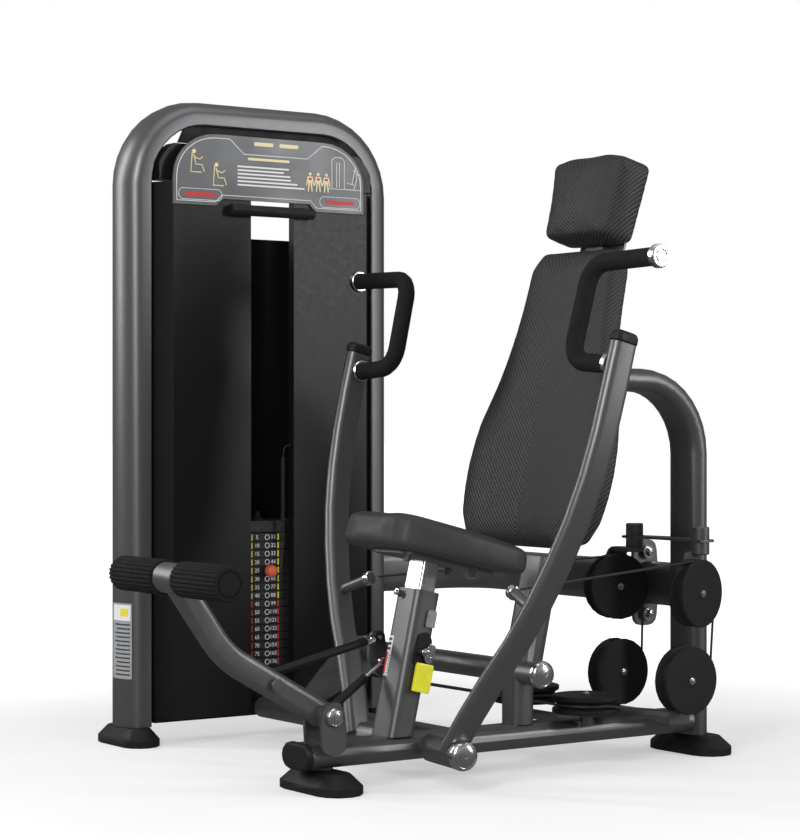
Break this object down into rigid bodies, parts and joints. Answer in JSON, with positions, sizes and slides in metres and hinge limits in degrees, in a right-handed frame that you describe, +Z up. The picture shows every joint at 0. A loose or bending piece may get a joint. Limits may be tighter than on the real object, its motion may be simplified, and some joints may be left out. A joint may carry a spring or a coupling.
{
  "type": "chest press machine",
  "caption": "Selector-stack chest press machine with converging press arms, an inclined adjustable seat, backrest, foot-assist lever and a shrouded weight tower.",
  "frame": {"origin": "bottom centre of the bounding box, on the floor", "axes": "+X to the back of the machine, +Y towards the weight tower, +Z up"},
  "size_m": [1.4399, 1.4624, 1.498],
  "materials": {
    "frame_paint": "dark grey metallic powder coat",
    "black_plastic": "matte black moulded plastic",
    "shroud_black": "near-black sheet, semi-gloss",
    "chrome": "polished chrome",
    "rubber_grip": "matte black rubber",
    "upholstery": "charcoal vinyl with a woven texture",
    "plate_black": "black painted weight plates",
    "sign_grey": "grey printed sign plate",
    "yellow_vinyl": "yellow dipped vinyl",
    "knob_orange": "orange-red knob",
    "cable_black": "black sheathed wire rope"
  },
  "bodies": {
    "frame": {"base_tube": "frame_paint", "front_end_cap": "black_plastic", "front_foot": "black_plastic", "rear_foot": "black_plastic", "tower_foot_left": "black_plastic", "tower_foot_right": "black_plastic", "rear_arch": "frame_paint", "upper_beam": "frame_paint", "back_post": "frame_paint", "tower_arch": "frame_paint", "shroud_left": "shroud_black", "shroud_right": "shroud_black", "shroud_top": "shroud_black", "rear_cover": "shroud_black", "sign_plate": "sign_grey", "slot_bar": "black_plastic", "stack_base": "black_plastic", "guide_rods": "chrome", "resting_plates": "plate_black", "lanyard": "cable_black", "seat_sleeve": "frame_paint", "adjuster_bracket": "black_plastic", "back_frame": "frame_paint", "back_pad": "upholstery", "head_pad": "upholstery", "cable_near": "cable_black", "cable_far": "cable_black"},
    "arm_near_body": {"arm_near": "frame_paint", "arm_cap_near": "black_plastic", "grip_near": "rubber_grip", "grip_end_near": "chrome"},
    "arm_far_body": {"arm_far": "frame_paint", "arm_cap_far": "black_plastic", "grip_far": "rubber_grip", "grip_end_far": "chrome"},
    "lever_body": {"foot_lever": "frame_paint"},
    "roller_near_body": {"foot_roller_near": "rubber_grip"},
    "roller_far_body": {"foot_roller_far": "rubber_grip"},
    "rocker_body": {"rocker": "frame_paint"},
    "link_body": {"link_rod": "black_plastic"},
    "damper_cylinder_body": {"damper_cylinder": "black_plastic"},
    "damper_rod_body": {"damper_rod": "chrome"},
    "seat_body": {"seat_post": "chrome", "seat_plate": "frame_paint", "seat_pad": "upholstery"},
    "adjuster_body": {"adjuster_lever": "chrome", "adjuster_handle": "yellow_vinyl"},
    "stack_body": {"head_plate": "plate_black", "lifted_plates": "plate_black"},
    "pin_body": {"selector_pin": "knob_orange"},
    "swivel_near_body": {"swivel_fork_near": "frame_paint"},
    "swivel_far_body": {"swivel_fork_far": "frame_paint"},
    "upper_pulley_near_body": {"upper_pulley_near": "black_plastic"},
    "upper_pulley_far_body": {"upper_pulley_far": "black_plastic"},
    "lower_pulley_near_body": {"lower_pulley_near": "black_plastic"},
    "lower_pulley_far_body": {"lower_pulley_far": "black_plastic"},
    "flat_pulley_near_body": {"flat_pulley_near": "black_plastic"},
    "flat_pulley_far_body": {"flat_pulley_far": "black_plastic"}
  },
  "joints": [
    {"name": "arm_near_press", "type": "hinge", "parent": "frame", "child": "arm_near_body", "pos_m": [-0.1228, -0.4008, 0.077], "axis": [-0.1633, -0.9866, 0], "range_deg": [0, 50], "deforming": ["cable_near"]},
    {"name": "arm_far_press", "type": "hinge", "parent": "frame", "child": "arm_far_body", "pos_m": [-0.1228, -0.0008, 0.077], "axis": [0.1633, -0.9866, 0], "range_deg": [0, 50], "deforming": ["cable_far"]},
    {"name": "foot_lever_push", "type": "hinge", "parent": "frame", "child": "lever_body", "pos_m": [-0.34, -0.2288, 0.155], "axis": [0, -1, 0], "range_deg": [0, 24]},
    {"name": "foot_roller_near_spin", "type": "hinge", "parent": "lever_body", "child": "roller_near_body", "pos_m": [-0.685, -0.2288, 0.445], "axis": [0, 1, 0], "continuous": true},
    {"name": "foot_roller_far_spin", "type": "hinge", "parent": "lever_body", "child": "roller_far_body", "pos_m": [-0.685, -0.2288, 0.445], "axis": [0, 1, 0], "continuous": true},
    {"name": "rocker_swing", "type": "hinge", "parent": "frame", "child": "rocker_body", "pos_m": [-0.125, -0.1438, 0.222], "axis": [0, -1, 0], "range_deg": [0, 27]},
    {"name": "link_swing", "type": "hinge", "parent": "lever_body", "child": "link_body", "pos_m": [-0.465, -0.1438, 0.226], "axis": [0, -1, 0], "range_deg": [-18, 0]},
    {"name": "damper_swing", "type": "hinge", "parent": "frame", "child": "damper_cylinder_body", "pos_m": [-0.278, -0.1558, 0.158], "axis": [0, -1, 0], "range_deg": [-3, 0]},
    {"name": "damper_stroke", "type": "slide", "parent": "damper_cylinder_body", "child": "damper_rod_body", "axis": [0.8252, 0, 0.5649], "range_m": [-0.016, 0]},
    {"name": "seat_height", "type": "slide", "parent": "frame", "child": "seat_body", "axis": [0.225, 0, 0.9744], "range_m": [-0.055, 0.09]},
    {"name": "seat_release", "type": "hinge", "parent": "frame", "child": "adjuster_body", "pos_m": [-0.1169, -0.2498, 0.2729], "axis": [0, 1, 0], "range_deg": [0, 20]},
    {"name": "stack_lift", "type": "slide", "parent": "frame", "child": "stack_body", "axis": [0, 0, 1], "range_m": [0, 0.29]},
    {"name": "pin_pull", "type": "slide", "parent": "stack_body", "child": "pin_body", "axis": [0, -1, 0], "range_m": [0, 0.06]},
    {"name": "swivel_near_turn", "type": "hinge", "parent": "frame", "child": "swivel_near_body", "pos_m": [0.598, -0.3118, 0.48], "axis": [0, 0, 1], "range_deg": [-8, 8], "deforming": ["cable_near"]},
    {"name": "swivel_far_turn", "type": "hinge", "parent": "frame", "child": "swivel_far_body", "pos_m": [0.598, -0.0898, 0.48], "axis": [0, 0, 1], "range_deg": [-8, 8], "deforming": ["cable_far"]},
    {"name": "upper_pulley_near_spin", "type": "hinge", "parent": "swivel_near_body", "child": "upper_pulley_near_body", "pos_m": [0.563, -0.3348, 0.37], "axis": [-0.2079, 0.9781, 0], "continuous": true},
    {"name": "upper_pulley_far_spin", "type": "hinge", "parent": "swivel_far_body", "child": "upper_pulley_far_body", "pos_m": [0.563, -0.0668, 0.37], "axis": [-0.2079, -0.9781, 0], "continuous": true},
    {"name": "lower_pulley_near_spin", "type": "hinge", "parent": "frame", "child": "lower_pulley_near_body", "pos_m": [0.552, -0.3158, 0.178], "axis": [0, 1, 0], "continuous": true},
    {"name": "lower_pulley_far_spin", "type": "hinge", "parent": "frame", "child": "lower_pulley_far_body", "pos_m": [0.552, -0.0858, 0.178], "axis": [0, 1, 0], "continuous": true},
    {"name": "flat_pulley_near_spin", "type": "hinge", "parent": "frame", "child": "flat_pulley_near_body", "pos_m": [0.326, -0.2468, 0.136], "axis": [0, 0, 1], "continuous": true},
    {"name": "flat_pulley_far_spin", "type": "hinge", "parent": "frame", "child": "flat_pulley_far_body", "pos_m": [0.34, -0.0168, 0.136], "axis": [0, 0, 1], "continuous": true}
  ],
  "couplings": [
    {"joint": "rocker_swing", "follows": "foot_lever_push", "ratio": 1.0884},
    {"joint": "link_swing", "follows": "foot_lever_push", "ratio": -0.7},
    {"joint": "damper_swing", "follows": "foot_lever_push", "ratio": -0.097},
    {"joint": "damper_stroke", "follows": "foot_lever_push", "m_per_rad": -0.0349},
    {"joint": "stack_lift", "follows": "arm_near_press", "m_per_rad": 0.33}
  ]
}
